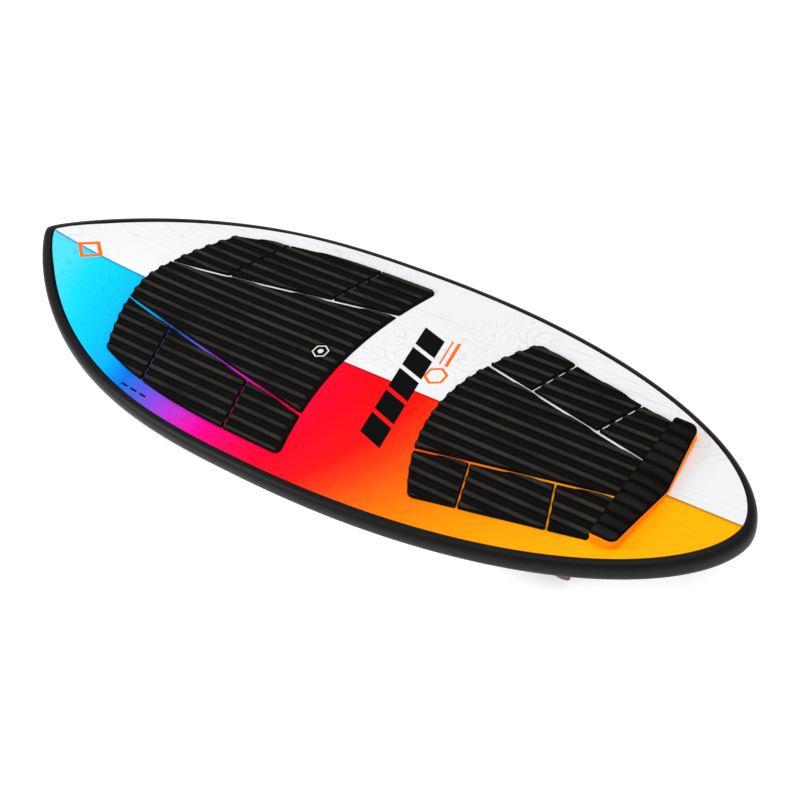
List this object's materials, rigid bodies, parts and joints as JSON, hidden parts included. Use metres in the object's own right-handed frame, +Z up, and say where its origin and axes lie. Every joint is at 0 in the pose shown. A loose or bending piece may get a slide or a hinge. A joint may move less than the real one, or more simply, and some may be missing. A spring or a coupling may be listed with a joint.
{
  "type": "wakesurf board",
  "caption": "Pointed-nose wakesurf board with foam core, black rail band, grooved foam traction pads, raised tail kick and plug-in fins.",
  "frame": {"origin": "centre of the bounding box, on the surface that the fins and belly rest on", "axes": "+X towards the nose, +Y to the board's left, +Z up; the board leans nose-down by 3.9 degrees because it stands on its fins and belly"},
  "size_m": [1.3696, 0.5084, 0.1125],
  "materials": {
    "foam_core": "expanded polystyrene foam",
    "stringer_wood": "bare light wood",
    "deck_print": "glossy clear laminate over a colour-fade print, white on the right half",
    "bottom_laminate": "glossy white laminate",
    "rail_black": "satin black",
    "fin_box_plastic": "moulded black plastic",
    "eva_black": "matt closed-cell foam with moulded grooves",
    "eva_orange": "matt closed-cell foam",
    "fin_composite": "glossy tinted composite",
    "screw_steel": "stainless steel"
  },
  "bodies": {
    "board": {"core_left": "foam_core", "core_right": "foam_core", "stringer": "stringer_wood", "deck_skin": "deck_print", "bottom_skin": "bottom_laminate", "rail_band": "rail_black", "fin_box_left": "fin_box_plastic", "fin_box_right": "fin_box_plastic", "fin_box_centre": "fin_box_plastic", "front_pad_centre": "eva_black", "front_pad_left_rear": "eva_black", "front_pad_left_middle": "eva_black", "front_pad_left_front": "eva_black", "front_pad_right_rear": "eva_black", "front_pad_right_middle": "eva_black", "front_pad_right_front": "eva_black", "rear_pad_centre": "eva_black", "rear_pad_left_rear": "eva_black", "rear_pad_left_middle": "eva_black", "rear_pad_left_front": "eva_black", "rear_pad_right_rear": "eva_black", "rear_pad_right_middle": "eva_black", "rear_pad_right_front": "eva_black", "kick_wedge": "eva_orange", "kick_cover": "eva_black"},
    "fin_left": {"fin_left": "fin_composite"},
    "fin_right": {"fin_right": "fin_composite"},
    "fin_centre": {"fin_centre": "fin_composite"},
    "screw_left_front": {"screw_left_front": "screw_steel"},
    "screw_left_rear": {"screw_left_rear": "screw_steel"},
    "screw_right_front": {"screw_right_front": "screw_steel"},
    "screw_right_rear": {"screw_right_rear": "screw_steel"},
    "screw_centre_front": {"screw_centre_front": "screw_steel"},
    "screw_centre_rear": {"screw_centre_rear": "screw_steel"}
  },
  "joints": [
    {"name": "fin_left_pull", "type": "slide", "parent": "board", "child": "fin_left", "axis": [-0.0716, 0, -0.9974], "range_m": [0, 0.03]},
    {"name": "fin_right_pull", "type": "slide", "parent": "board", "child": "fin_right", "axis": [-0.0716, 0, -0.9974], "range_m": [0, 0.03]},
    {"name": "fin_centre_pull", "type": "slide", "parent": "board", "child": "fin_centre", "axis": [-0.0755, 0, -0.9971], "range_m": [0, 0.03]},
    {"name": "screw_left_front_turn", "type": "hinge", "parent": "board", "child": "screw_left_front", "pos_m": [-0.40306, 0.12022, 0.05062], "axis": [-0.0838, -0.4995, -0.8622], "range_deg": [0, 720]},
    {"name": "screw_left_rear_turn", "type": "hinge", "parent": "board", "child": "screw_left_rear", "pos_m": [-0.46285, 0.12284, 0.05491], "axis": [-0.0838, -0.4995, -0.8622], "range_deg": [0, 720]},
    {"name": "screw_right_front_turn", "type": "hinge", "parent": "board", "child": "screw_right_front", "pos_m": [-0.40306, -0.12022, 0.05062], "axis": [-0.0838, 0.4995, -0.8622], "range_deg": [0, 720]},
    {"name": "screw_right_rear_turn", "type": "hinge", "parent": "board", "child": "screw_right_rear", "pos_m": [-0.46285, -0.12284, 0.05491], "axis": [-0.0838, 0.4995, -0.8622], "range_deg": [0, 720]},
    {"name": "screw_centre_front_turn", "type": "hinge", "parent": "board", "child": "screw_centre_front", "pos_m": [-0.5324, -0.00647, 0.06002], "axis": [-0.0654, -0.5, -0.8636], "range_deg": [0, 720]},
    {"name": "screw_centre_rear_turn", "type": "hinge", "parent": "board", "child": "screw_centre_rear", "pos_m": [-0.59223, -0.00647, 0.06455], "axis": [-0.0654, -0.5, -0.8636], "range_deg": [0, 720]}
  ]
}
